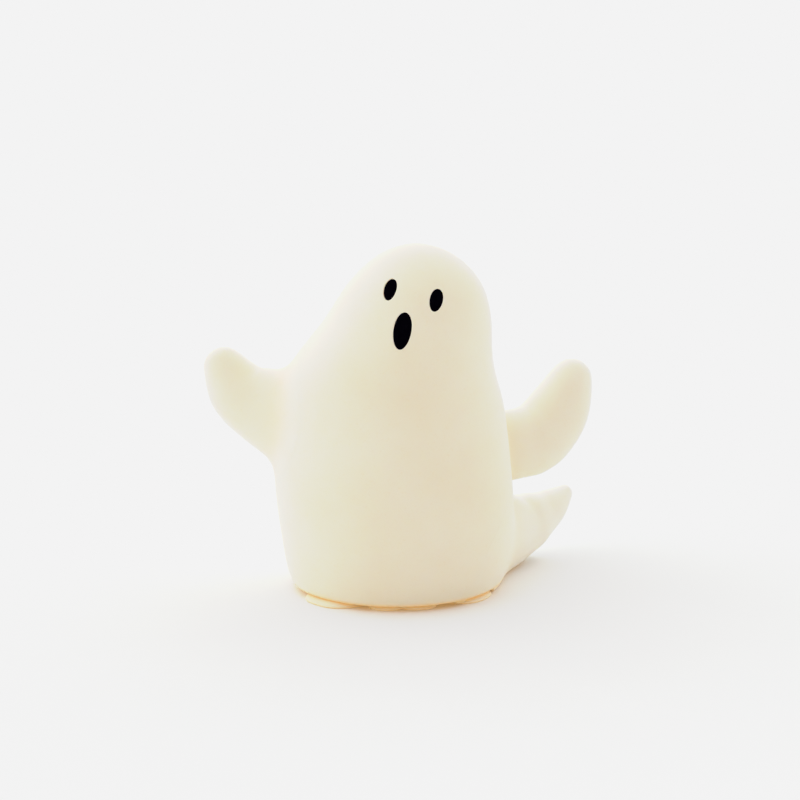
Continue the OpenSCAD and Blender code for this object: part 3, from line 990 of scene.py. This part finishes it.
class Tree:
    """Short calls for adding nodes to a material or a node group."""

    def __init__(self, tree):
        self.tree = tree
        self.nodes = tree.nodes
        self.column = 0

    def node(self, kind, inputs=None, **settings):
        """Adds a node, sets its properties, then links or sets its inputs."""
        made = self.nodes.new(kind)
        self.column += 1
        made.location = (self.column * 190, -(self.column % 3) * 160)
        for name, value in settings.items():
            setattr(made, name, value)
        for name, value in (inputs or {}).items():
            self.put(made.inputs[name], value)
        return made

    def put(self, socket, value):
        """Links a socket to another one, or gives it a value."""
        if isinstance(value, bpy.types.NodeSocket):
            self.tree.links.new(value, socket)
        else:
            socket.default_value = value

    def math(self, operation, *values):
        """A math node's result."""
        made = self.node("ShaderNodeMath", operation=operation)
        for socket, value in zip(made.inputs, values):
            self.put(socket, value)
        return made.outputs[0]

    def mix(self, amount, one, other):
        """A colour between two others."""
        made = self.node("ShaderNodeMix", data_type="RGBA")
        for name, value in (("Factor_Float", amount), ("A_Color", one), ("B_Color", other)):
            self.put(next(s for s in made.inputs if s.identifier == name), value)
        return next(s for s in made.outputs if s.identifier == "Result_Color")

    def spread(self, value, low, high, to_low=0.0, to_high=1.0):
        """A value stretched from one range to another, and held inside it."""
        return self.node(
            "ShaderNodeMapRange",
            {"Value": value, "From Min": low, "From Max": high, "To Min": to_low, "To Max": to_high},
        ).outputs["Result"]


def new_group(name, inputs, outputs):
    """A node group with named sockets. Returns its tree, its input node and its output node."""
    group = bpy.data.node_groups.new(name, "ShaderNodeTree")
    for label, kind, value in inputs:
        socket = group.interface.new_socket(label, in_out="INPUT", socket_type=kind)
        socket.default_value = value
    for label, kind in outputs:
        group.interface.new_socket(label, in_out="OUTPUT", socket_type=kind)
    tree = Tree(group)
    return tree, tree.node("NodeGroupInput"), tree.node("NodeGroupOutput")


def mottled_clay():
    """Group: soft cloudy patches, fine specks and a warm tint of painted shade where a mask says."""
    tree, taken, given = new_group(
        "Mottled clay",
        (
            ("Color", "NodeSocketColor", (0.8, 0.7, 0.5, 1)),
            ("Pale Color", "NodeSocketColor", (0.8, 0.7, 0.5, 1)),
            ("Warm Color", "NodeSocketColor", (0.7, 0.5, 0.3, 1)),
            ("Warmth", "NodeSocketFloat", 0.0),
            ("Patch Scale", "NodeSocketFloat", 40.0),
            ("Speck Scale", "NodeSocketFloat", 600.0),
            ("Speck Amount", "NodeSocketFloat", 0.1),
        ),
        (("Color", "NodeSocketColor"),),
    )
    place = tree.node("ShaderNodeTexCoord").outputs["Object"]
    take = taken.outputs
    patch = tree.node(
        "ShaderNodeTexNoise",
        {"Vector": place, "Scale": take["Patch Scale"], "Detail": 4.0, "Roughness": 0.55},
    ).outputs["Fac"]
    clouds = tree.spread(patch, *CLOUD_SPAN)
    clay = tree.mix(clouds, take["Color"], take["Pale Color"])
    speck = tree.node(
        "ShaderNodeTexNoise",
        {"Vector": place, "Scale": take["Speck Scale"], "Detail": 3.0, "Roughness": 0.6},
    ).outputs["Fac"]
    dots = tree.math("MULTIPLY", tree.spread(speck, *SPECK_SPAN), take["Speck Amount"])
    clay = tree.mix(dots, clay, take["Warm Color"])
    tint = tree.mix(take["Warmth"], clay, take["Warm Color"])
    tree.put(given.inputs["Color"], tint)
    return tree.tree


def pinholes():
    """Group: a mask of a few tiny round holes."""
    tree, taken, given = new_group(
        "Pinholes",
        (
            ("Scale", "NodeSocketFloat", 120.0),
            ("Size", "NodeSocketFloat", 0.06),
            ("Share", "NodeSocketFloat", 0.2),
        ),
        (("Mask", "NodeSocketFloat"),),
    )
    take = taken.outputs
    place = tree.node("ShaderNodeTexCoord").outputs["Object"]
    cells = tree.node("ShaderNodeTexVoronoi", {"Vector": place, "Scale": take["Scale"]})
    hole = tree.math("LESS_THAN", cells.outputs["Distance"], take["Size"])
    chosen = tree.node("ShaderNodeSeparateColor", {"Color": cells.outputs["Color"]}).outputs[0]
    kept = tree.math("LESS_THAN", chosen, take["Share"])
    tree.put(given.inputs["Mask"], tree.math("MULTIPLY", hole, kept))
    return tree.tree


def dry_surface():
    """Group: height and roughness of a dry, finely grained, slightly uneven surface."""
    tree, taken, given = new_group(
        "Dry surface",
        (
            ("Grain Scale", "NodeSocketFloat", 1500.0),
            ("Grain", "NodeSocketFloat", 0.3),
            ("Unevenness", "NodeSocketFloat", 0.5),
            ("Pits", "NodeSocketFloat", 0.0),
            ("Roughness", "NodeSocketFloat", 0.6),
            ("Roughness Spread", "NodeSocketFloat", 0.1),
        ),
        (("Height", "NodeSocketFloat"), ("Roughness", "NodeSocketFloat")),
    )
    take = taken.outputs
    place = tree.node("ShaderNodeTexCoord").outputs["Object"]
    grain = tree.node(
        "ShaderNodeTexNoise",
        {"Vector": place, "Scale": take["Grain Scale"], "Detail": 2.0, "Roughness": 0.5},
    ).outputs["Fac"]
    swell = tree.node(
        "ShaderNodeTexNoise",
        {"Vector": place, "Scale": SWELL_SCALE, "Detail": 1.0},
    ).outputs["Fac"]
    height = tree.math("MULTIPLY", grain, take["Grain"])
    height = tree.math("ADD", height, tree.math("MULTIPLY", swell, take["Unevenness"]))
    height = tree.math("SUBTRACT", height, take["Pits"])
    tree.put(given.inputs["Height"], height)
    off = tree.math("MULTIPLY", tree.math("SUBTRACT", grain, 0.5), take["Roughness Spread"])
    tree.put(given.inputs["Roughness"], tree.math("ADD", take["Roughness"], off))
    return tree.tree


def group_node(tree, builder, **values):
    """Places a node group, which is built the first time, with its own values."""
    name = GROUP_NAMES[builder]
    group = bpy.data.node_groups.get(name) or builder()
    made = tree.node("ShaderNodeGroup", node_tree=group)
    for label, value in values.items():
        tree.put(made.inputs[label.replace("_", " ").title()], value)
    return made.outputs


GROUP_NAMES = {mottled_clay: "Mottled clay", pinholes: "Pinholes", dry_surface: "Dry surface"}


def new_material(name, settings, relief):
    """A material with a relief of the given height. Returns it, its tree, shader and bump."""
    material = bpy.data.materials.new(name)
    material.use_nodes = True
    tree = Tree(material.node_tree)
    shader = tree.nodes["Principled BSDF"]
    for label, value in settings.items():
        shader.inputs[label].default_value = value
    bump = tree.node("ShaderNodeBump")
    bump.inputs["Distance"].default_value = relief
    tree.put(shader.inputs["Normal"], bump.outputs["Normal"])
    return material, tree, shader, bump


def rgba(value):
    """A colour with full alpha."""
    return (*value, 1)


def cream_ceramic(name, finish, shade_share=1.0):
    """Matte cream ceramic: cloudy, finely speckled, with a few pinholes, painted warm shade and glow.
    """
    found = bpy.data.materials.get(name)
    if found:
        return found
    material, tree, shader, bump = new_material(name, CLAY_SHADER, CLAY_RELIEF)
    # The warmth mask is painted warm shade in creases, at the rim and along the table; it also drives
    # the painted glow
    mask = tree.node("ShaderNodeAttribute", attribute_name="warmth").outputs["Fac"]
    holes = group_node(tree, pinholes, scale=110.0, size=0.035, share=0.12)["Mask"]
    # Painted shade in the creases, joined with the pinholes' own warm specks
    creases = tree.math("MULTIPLY", mask, shade_share)
    warmth = tree.math("MAXIMUM", creases, tree.math("MULTIPLY", holes, HOLE_WARMTH))
    # Painted light: the limbs' clay turns paler off the body
    thin = tree.node("ShaderNodeAttribute", attribute_name="paleness").outputs["Fac"]
    clay = group_node(
        tree, mottled_clay,
        color=tree.mix(thin, rgba(finish.clay), rgba(finish.painted_light_clay)),
        pale_color=tree.mix(thin, rgba(finish.clay_pale), rgba(finish.painted_light_clay)),
        warm_color=rgba(finish.speck_and_shade_clay), warmth=warmth,
        patch_scale=28.0, speck_scale=900.0, speck_amount=0.08,
    )
    surface = group_node(
        tree, dry_surface, grain_scale=1400.0, grain=0.25, unevenness=0.6, pits=holes,
        roughness=finish.roughness, roughness_spread=0.2,
    )
    tree.put(shader.inputs["Base Color"], clay["Color"])
    # Painted glow: the clay emits warm light where the painted shade is
    tree.put(shader.inputs["Emission Color"], tree.mix(mask, BLACK, rgba(finish.painted_glow)))
    tree.put(shader.inputs["Roughness"], surface["Roughness"])
    tree.put(bump.inputs["Height"], surface["Height"])
    bump.inputs["Strength"].default_value = CLAY_RELIEF_STRENGTH
    return material


def black_ceramic(finish):
    """Dead matte black with a faint dusty grain."""
    found = bpy.data.materials.get("Matte black")
    if found:
        return found
    material, tree, shader, bump = new_material("Matte black", BLACK_SHADER, BLACK_RELIEF)
    colours = group_node(
        tree, mottled_clay, color=rgba(finish.black), pale_color=rgba(finish.black_pale),
        warm_color=rgba(finish.black_pale), warmth=0.0,
        patch_scale=500.0, speck_scale=2500.0, speck_amount=0.5,
    )
    surface = group_node(
        tree, dry_surface, grain_scale=3000.0, grain=0.8, unevenness=0.2, pits=0.0,
        roughness=0.85, roughness_spread=0.2,
    )
    tree.put(shader.inputs["Base Color"], colours["Color"])
    tree.put(shader.inputs["Roughness"], surface["Roughness"])
    tree.put(bump.inputs["Height"], surface["Height"])
    return material


# Operators


class BodyOperator(Operator):
    """Builds the leaning body with its hollows for the face"""

    bl_idname = "ornament.body"
    bl_label = "Body"

    def execute(self, context):
        sizes, finish = context.scene.ornament_sizes, context.scene.ornament_finish
        skin = body_skin(sizes, context.scene.ornament_face)
        masks = {"warmth": painted_shade_of(sizes, finish)}
        skin.piece("body", cream_ceramic("Cream ceramic", finish), "body_shell", masks)
        return {"FINISHED"}


class LimbsOperator(Operator):
    """Builds the two arms and the tail, each faired onto the body"""

    bl_idname = "ornament.limbs"
    bl_label = "Arms and Tail"

    def execute(self, context):
        sizes, finish = context.scene.ornament_sizes, context.scene.ornament_finish
        material = cream_ceramic("Cream ceramic", finish)
        masks = {"warmth": painted_shade_of(sizes, finish, LIMB_CONTACT)}
        for name, shares in LIMBS.items():
            masks["paleness"] = painted_lightness_of(sizes, PAINTED_LIGHTNESS_SHARES[name])
            limb_skin(sizes, name, shares).piece(f"{name}_form", material, name, masks)
        return {"FINISHED"}


class FaceOperator(Operator):
    """Builds the black eyes and mouth in their hollows"""

    bl_idname = "ornament.face"
    bl_label = "Face"

    def execute(self, context):
        scene = context.scene
        body = body_field(scene.ornament_sizes)
        for name in FACE_NAMES:
            hollow = Hollow(scene.ornament_sizes, scene.ornament_face, name, body)
            inlay_skin(hollow).piece(f"{name}_inlay", black_ceramic(scene.ornament_finish), name)
        return {"FINISHED"}


class HemOperator(Operator):
    """Builds the scalloped hem plate with its boss and vent hole"""

    bl_idname = "ornament.hem"
    bl_label = "Hem Plate"

    def execute(self, context):
        sizes, finish = context.scene.ornament_sizes, context.scene.ornament_finish
        skin = Skin()
        first, last = skin.stack(hem_loops(sizes))
        skin.bridge(last, first)
        masks = {"warmth": painted_shade_of(sizes, finish)}
        skin.piece("hem", cream_ceramic("Hem ceramic", finish, HEM_PAINTED_SHADE), "hem_plate", masks)
        return {"FINISHED"}


class StageOperator(Operator):
    """Sets the pale floor, the soft light and the camera"""

    bl_idname = "ornament.stage"
    bl_label = "Stage"

    def execute(self, context):
        stage = context.scene.ornament_stage
        lay_floor(stage)
        light_scene(stage)
        place_camera(stage)
        soften_highlights(context.scene)
        return {"FINISHED"}


# Sides of the round floor, width of the camera's sensor in millimetres, and how far it sees
FLOOR_SIDES = 64
SENSOR_WIDTH = 36
SIGHT = 100


def lay_floor(stage):
    """A large pale floor, which isn't part of the ornament."""
    mesh = bpy.data.meshes.new("floor")
    build = bmesh.new()
    bmesh.ops.create_circle(build, cap_ends=True, segments=FLOOR_SIDES, radius=stage.floor_radius)
    build.to_mesh(mesh)
    build.free()
    floor = bpy.data.objects.new("floor", mesh)
    bpy.context.scene.collection.objects.link(floor)
    material, tree, shader, bump = new_material("Paper floor", PAPER_SHADER, PAPER_RELIEF)
    fibre = tree.node("ShaderNodeTexNoise", {"Scale": 400.0, "Detail": 3.0}).outputs["Fac"]
    dull = rgba([part * FIBRE_SHADE for part in stage.floor])
    tree.put(shader.inputs["Base Color"], tree.mix(fibre, rgba(stage.floor), dull))
    tree.put(bump.inputs["Height"], fibre)
    mesh.materials.append(material)


def light_scene(stage):
    """Surroundings that are white behind, and warm and dim toward the camera, and a soft sun."""
    scene = bpy.context.scene
    world = bpy.data.worlds.new("White room")
    world.use_nodes = True
    tree = Tree(world.node_tree)
    back = tree.nodes["Background"]
    way = tree.node("ShaderNodeTexCoord").outputs["Generated"]
    toward = tree.node("ShaderNodeVectorMath", operation="DOT_PRODUCT")
    tree.put(toward.inputs[0], way)
    tree.put(toward.inputs[1], stage.sky_way)
    amount = tree.spread(toward.outputs["Value"], -1.0, 1.0)
    tree.put(back.inputs["Color"], tree.mix(amount, rgba(stage.sky_dim), rgba(stage.sky_bright)))
    tree.put(back.inputs["Strength"], stage.sky_strength)
    scene.world = world
    light = bpy.data.lights.new("key", "SUN")
    light.energy = stage.key_strength
    light.angle = stage.key_softness
    sun = bpy.data.objects.new("key", light)
    place = Vector((math.cos(stage.key_side), math.sin(stage.key_side), math.tan(stage.key_rise)))
    sun.rotation_euler = place.to_track_quat("Z", "Y").to_euler()
    scene.collection.objects.link(sun)


def soften_highlights(scene):
    """Bends the brightest tones over, so that everything past the white level shows alike."""
    view = scene.view_settings
    view.view_transform = "Standard"
    view.use_curve_mapping = True
    mapping = view.curve_mapping
    top = TONES[-1][0]
    mapping.white_level = (top, top, top)
    curve = mapping.curves[3]
    curve.points[1].location = 1, TONES[-1][1]
    for light, shown in TONES[:-1]:
        curve.points.new(light / top, shown)
    for point in curve.points:
        point.handle_type = "AUTO_CLAMPED"
    mapping.update()


def place_camera(stage):
    """The camera at the photograph's angle."""
    lens = bpy.data.cameras.new("camera")
    lens.lens = stage.camera_lens
    lens.sensor_width = SENSOR_WIDTH
    camera = bpy.data.objects.new("camera", lens)
    aim = Vector((stage.aim_side, 0, stage.aim_height))
    back = Vector((0, -math.cos(stage.camera_rise), math.sin(stage.camera_rise)))
    camera.location = aim + back * stage.camera_distance
    camera.rotation_euler = (-back).to_track_quat("-Z", "Y").to_euler()
    lens.clip_end = SIGHT
    bpy.context.scene.collection.objects.link(camera)
    bpy.context.scene.camera = camera


class OrnamentPanel(Panel):
    """Lists the steps that build the ornament"""

    bl_idname = "VIEW3D_PT_ornament"
    bl_label = "Ceramic Ghost"
    bl_space_type = "VIEW_3D"
    bl_region_type = "UI"
    bl_category = "Ornament"

    def draw(self, context):
        for step in OPERATORS:
            self.layout.operator(step.bl_idname)


OPERATORS = (BodyOperator, HemOperator, LimbsOperator, FaceOperator, StageOperator)
GROUPS = {
    "ornament_sizes": OrnamentSizes,
    "ornament_face": OrnamentFace,
    "ornament_finish": OrnamentFinish,
    "ornament_stage": OrnamentStage,
}


def register():
    for kind in (*GROUPS.values(), *OPERATORS, OrnamentPanel):
        bpy.utils.register_class(kind)
    for name, kind in GROUPS.items():
        setattr(bpy.types.Scene, name, PointerProperty(type=kind))


def unregister():
    for name in GROUPS:
        delattr(bpy.types.Scene, name)
    for kind in (OrnamentPanel, *reversed(OPERATORS), *reversed(GROUPS.values())):
        bpy.utils.unregister_class(kind)


def main():
    register()
    bpy.ops.ornament.body()
    bpy.ops.ornament.hem()
    bpy.ops.ornament.limbs()
    bpy.ops.ornament.face()
    bpy.ops.ornament.stage()


if __name__ == "__main__":
    main()
